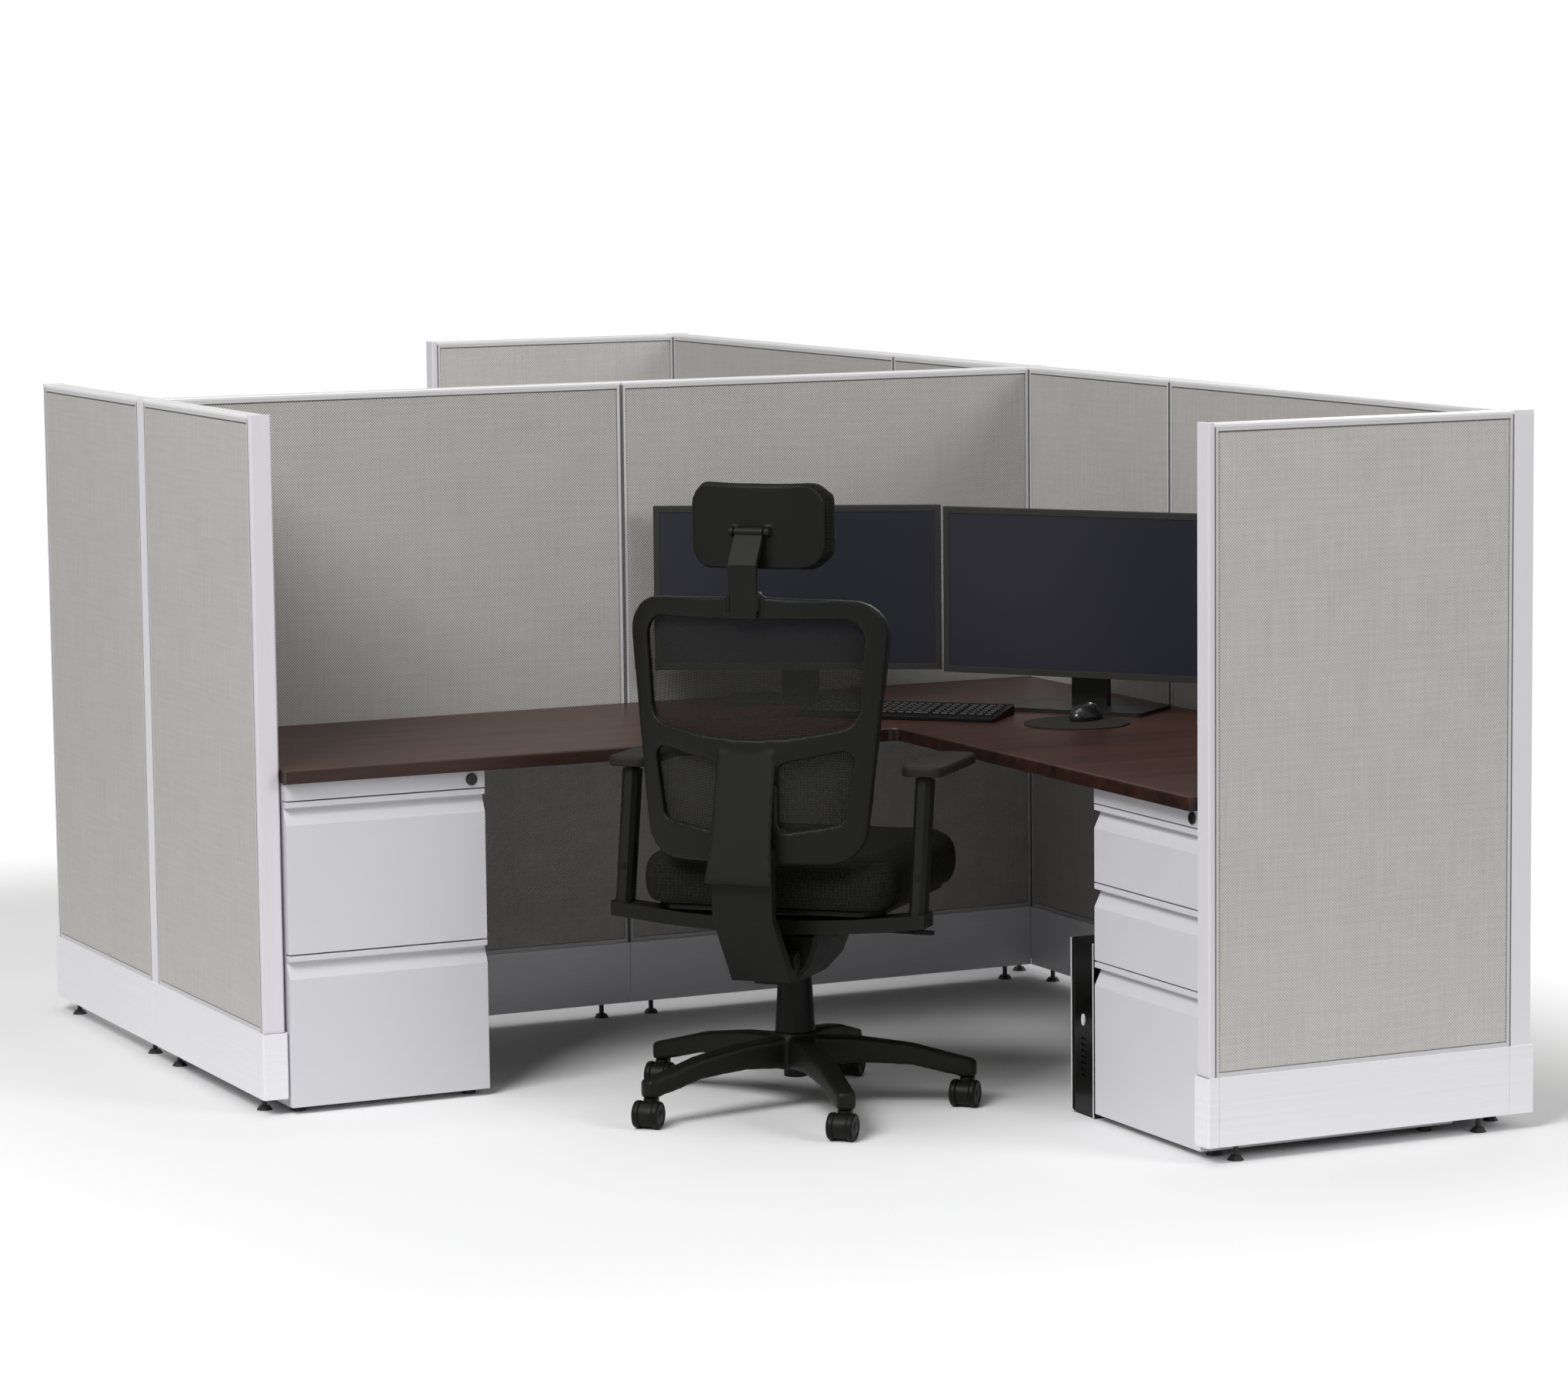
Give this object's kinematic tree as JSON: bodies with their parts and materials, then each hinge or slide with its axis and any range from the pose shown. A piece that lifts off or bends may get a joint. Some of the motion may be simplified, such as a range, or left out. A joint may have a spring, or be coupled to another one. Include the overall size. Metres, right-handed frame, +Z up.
{
  "type": "workstation cluster",
  "caption": "T-shaped panel workstation cluster with L worksurfaces, file pedestals, mesh task chair, two monitors and a slim computer",
  "frame": {"origin": "centre of the footprint on the floor, on the centreline of the spine panels", "axes": "+X along the spine from the wing panels to the wall panels, +Y across the spine to the far station, +Z up"},
  "size_m": [2.282, 4.208, 1.49],
  "materials": {
    "panel_metal": "silver-white powder-coated steel",
    "panel_fabric": "woven light grey panel fabric",
    "connector_paint": "silver-white covers over dark connector strips",
    "cap_paint": "bright satin paint",
    "end_cover_paint": "satin off-white paint",
    "base_paint": "brushed silver-white paint",
    "glide_nylon": "black nylon",
    "laminate": "dark mahogany laminate, satin",
    "bracket_paint": "matt black paint",
    "pedestal_paint": "smooth silver-white powder coat",
    "lock_metal": "black lock face on a steel barrel",
    "chair_nylon": "charcoal glass-filled nylon",
    "wheel_nylon": "black nylon",
    "spring_steel": "dark oxidised steel",
    "spring_sleeve": "black telescopic cover",
    "mechanism_metal": "black die-cast housing",
    "seat_fabric": "charcoal 3-D mesh fabric",
    "mesh_cloth": "open black mesh",
    "arm_pad": "soft black polyurethane",
    "monitor_plastic": "dark grey housing round a bare dark screen",
    "stand_plastic": "dark gloss stand",
    "key_plastic": "black keys and body",
    "mouse_plastic": "dark gloss shell",
    "pad_cloth": "cloth top on rubber",
    "tower_gloss": "black gloss with silver edge strips",
    "button_silver": "silver"
  },
  "bodies": {
    "workstation": {"side_panel_frames": "panel_metal", "spine_panel_frames": "panel_metal", "wall_panel_frames": "panel_metal", "side_fabric_tiles": "panel_fabric", "spine_fabric_tiles": "panel_fabric", "wall_fabric_tiles": "panel_fabric", "connector_posts": "connector_paint", "top_caps": "cap_paint", "end_covers": "end_cover_paint", "base_covers": "base_paint", "levelling_glides": "glide_nylon", "worksurface_near": "laminate", "worksurface_far": "laminate", "worksurface_brackets": "bracket_paint", "file_pedestal_case": "pedestal_paint", "box_pedestal_case": "pedestal_paint", "monitor_left_stand": "stand_plastic", "monitor_right_stand": "stand_plastic", "keyboard": "key_plastic", "mouse": "mouse_plastic", "mouse_pad": "pad_cloth", "computer_tower": "tower_gloss"},
    "file_drawer_upper": {"file_drawer_upper": "pedestal_paint"},
    "file_drawer_lower": {"file_drawer_lower": "pedestal_paint"},
    "box_drawer_upper": {"box_drawer_upper": "pedestal_paint"},
    "box_drawer_middle": {"box_drawer_middle": "pedestal_paint"},
    "box_drawer_lower": {"box_drawer_lower": "pedestal_paint"},
    "file_lock": {"file_pedestal_lock": "lock_metal"},
    "box_lock": {"box_pedestal_lock": "lock_metal"},
    "chair_foot": {"chair_base": "chair_nylon", "gas_spring_tube": "spring_sleeve"},
    "caster_1": {"caster_yoke_1": "chair_nylon"},
    "caster_1_pair": {"caster_wheels_1": "wheel_nylon"},
    "caster_2": {"caster_yoke_2": "chair_nylon"},
    "caster_2_pair": {"caster_wheels_2": "wheel_nylon"},
    "caster_3": {"caster_yoke_3": "chair_nylon"},
    "caster_3_pair": {"caster_wheels_3": "wheel_nylon"},
    "caster_4": {"caster_yoke_4": "chair_nylon"},
    "caster_4_pair": {"caster_wheels_4": "wheel_nylon"},
    "caster_5": {"caster_yoke_5": "chair_nylon"},
    "caster_5_pair": {"caster_wheels_5": "wheel_nylon"},
    "seat_column": {"gas_spring_piston": "spring_steel"},
    "seat_body": {"tilt_mechanism": "mechanism_metal", "seat_pan": "chair_nylon", "seat_cushion": "seat_fabric", "arm_bracket": "chair_nylon"},
    "lever": {"height_lever": "mechanism_metal"},
    "back_body": {"back_spine": "chair_nylon", "back_frame": "chair_nylon", "back_mesh": "mesh_cloth"},
    "armrest_left_body": {"armrest_left": "arm_pad"},
    "arm_button_left_body": {"arm_button_left": "arm_pad"},
    "armrest_right_body": {"armrest_right": "arm_pad"},
    "arm_button_right_body": {"arm_button_right": "arm_pad"},
    "headrest_strap": {"headrest_stem": "chair_nylon"},
    "headrest_body": {"headrest_shell": "chair_nylon", "headrest_pad": "seat_fabric"},
    "monitor_left": {"monitor_left_head": "monitor_plastic"},
    "monitor_right": {"monitor_right_head": "monitor_plastic"},
    "tower_power": {"tower_power_button": "button_silver"}
  },
  "joints": [
    {"name": "file_drawer_upper_slide", "type": "slide", "parent": "workstation", "child": "file_drawer_upper", "axis": [0, -1, 0], "range_m": [0, 0.52]},
    {"name": "file_drawer_lower_slide", "type": "slide", "parent": "workstation", "child": "file_drawer_lower", "axis": [0, -1, 0], "range_m": [0, 0.52]},
    {"name": "box_drawer_upper_slide", "type": "slide", "parent": "workstation", "child": "box_drawer_upper", "axis": [-1, 0, 0], "range_m": [0, 0.44]},
    {"name": "box_drawer_middle_slide", "type": "slide", "parent": "workstation", "child": "box_drawer_middle", "axis": [-1, 0, 0], "range_m": [0, 0.44]},
    {"name": "box_drawer_lower_slide", "type": "slide", "parent": "workstation", "child": "box_drawer_lower", "axis": [-1, 0, 0], "range_m": [0, 0.44]},
    {"name": "file_lock_turn", "type": "hinge", "parent": "workstation", "child": "file_lock", "pos_m": [-0.658, -0.735, 0.692], "axis": [0, -1, 0], "range_deg": [0, 90]},
    {"name": "box_lock_turn", "type": "hinge", "parent": "workstation", "child": "box_lock", "pos_m": [0.385, -2.009, 0.692], "axis": [-1, 0, 0], "range_deg": [0, 90]},
    {"name": "chair_roll", "type": "slide", "parent": "workstation", "child": "chair_foot", "axis": [-0.7133, -0.7009, 0], "range_m": [0, 0.2]},
    {"name": "caster_1_swivel", "type": "hinge", "parent": "chair_foot", "child": "caster_1", "pos_m": [0.16605, -0.89847, 0.062], "axis": [0, 0, 1], "continuous": true},
    {"name": "caster_1_roll", "type": "hinge", "parent": "caster_1", "child": "caster_1_pair", "pos_m": [0.15321, -0.91108, 0.029], "axis": [0.7009, -0.7133, 0], "continuous": true},
    {"name": "caster_2_swivel", "type": "hinge", "parent": "chair_foot", "child": "caster_2", "pos_m": [-0.25831, -0.82745, 0.062], "axis": [0, 0, 1], "continuous": true},
    {"name": "caster_2_roll", "type": "hinge", "parent": "caster_2", "child": "caster_2_pair", "pos_m": [-0.27115, -0.84007, 0.029], "axis": [0.7009, -0.7133, 0], "continuous": true},
    {"name": "caster_3_swivel", "type": "hinge", "parent": "chair_foot", "child": "caster_3", "pos_m": [-0.45698, -1.2091, 0.062], "axis": [0, 0, 1], "continuous": true},
    {"name": "caster_3_roll", "type": "hinge", "parent": "caster_3", "child": "caster_3_pair", "pos_m": [-0.46982, -1.22172, 0.029], "axis": [0.7009, -0.7133, 0], "continuous": true},
    {"name": "caster_4_swivel", "type": "hinge", "parent": "chair_foot", "child": "caster_4", "pos_m": [-0.15541, -1.51598, 0.062], "axis": [0, 0, 1], "continuous": true},
    {"name": "caster_4_roll", "type": "hinge", "parent": "caster_4", "child": "caster_4_pair", "pos_m": [-0.16825, -1.5286, 0.029], "axis": [0.7009, -0.7133, 0], "continuous": true},
    {"name": "caster_5_swivel", "type": "hinge", "parent": "chair_foot", "child": "caster_5", "pos_m": [0.22965, -1.324, 0.062], "axis": [0, 0, 1], "continuous": true},
    {"name": "caster_5_roll", "type": "hinge", "parent": "caster_5", "child": "caster_5_pair", "pos_m": [0.21681, -1.33662, 0.029], "axis": [0.7009, -0.7133, 0], "continuous": true},
    {"name": "seat_lift", "type": "slide", "parent": "chair_foot", "child": "seat_column", "axis": [0, 0, 1], "range_m": [0, 0.1]},
    {"name": "seat_swivel", "type": "hinge", "parent": "seat_column", "child": "seat_body", "pos_m": [-0.095, -1.155, 0.284], "axis": [0, 0, 1], "continuous": true},
    {"name": "height_lever_lift", "type": "hinge", "parent": "seat_body", "child": "lever", "pos_m": [-0.02151, -1.20125, 0.384], "axis": [-0.7133, -0.7009, 0], "range_deg": [0, 6], "stiffness_Nm_per_rad": 2},
    {"name": "back_recline", "type": "hinge", "parent": "seat_body", "child": "back_body", "pos_m": [-0.2134, -1.27135, 0.342], "axis": [0.7009, -0.7133, 0], "range_deg": [0, 20]},
    {"name": "armrest_left_height", "type": "slide", "parent": "seat_body", "child": "armrest_left_body", "axis": [0.1324, 0.1301, 0.9826], "range_m": [0, 0.07]},
    {"name": "arm_button_left_press", "type": "slide", "parent": "seat_body", "child": "arm_button_left_body", "axis": [0.7008, 0.6887, -0.1857], "range_m": [0, 0.0012], "stiffness_N_per_m": 400},
    {"name": "armrest_right_height", "type": "slide", "parent": "seat_body", "child": "armrest_right_body", "axis": [0.1324, 0.1301, 0.9826], "range_m": [0, 0.07]},
    {"name": "arm_button_right_press", "type": "slide", "parent": "seat_body", "child": "arm_button_right_body", "axis": [0.7008, 0.6887, -0.1857], "range_m": [0, 0.0012], "stiffness_N_per_m": 400},
    {"name": "headrest_height", "type": "slide", "parent": "back_body", "child": "headrest_strap", "axis": [0, 0, 1], "range_m": [0, 0.06]},
    {"name": "headrest_tilt", "type": "hinge", "parent": "headrest_strap", "child": "headrest_body", "pos_m": [-0.27046, -1.32742, 1.25], "axis": [0.7009, -0.7133, 0], "range_deg": [-18, 25]},
    {"name": "monitor_left_tilt", "type": "hinge", "parent": "workstation", "child": "monitor_left", "pos_m": [0.38406, -0.20176, 0.99345], "axis": [0.8678, -0.497, 0], "range_deg": [-15, 5]},
    {"name": "monitor_right_tilt", "type": "hinge", "parent": "workstation", "child": "monitor_right", "pos_m": [0.87585, -0.6903, 0.99345], "axis": [0.6032, -0.7976, 0], "range_deg": [-15, 5]},
    {"name": "tower_power_press", "type": "slide", "parent": "workstation", "child": "tower_power", "axis": [1, 0, 0], "range_m": [0, 0.002], "stiffness_N_per_m": 500}
  ]
}
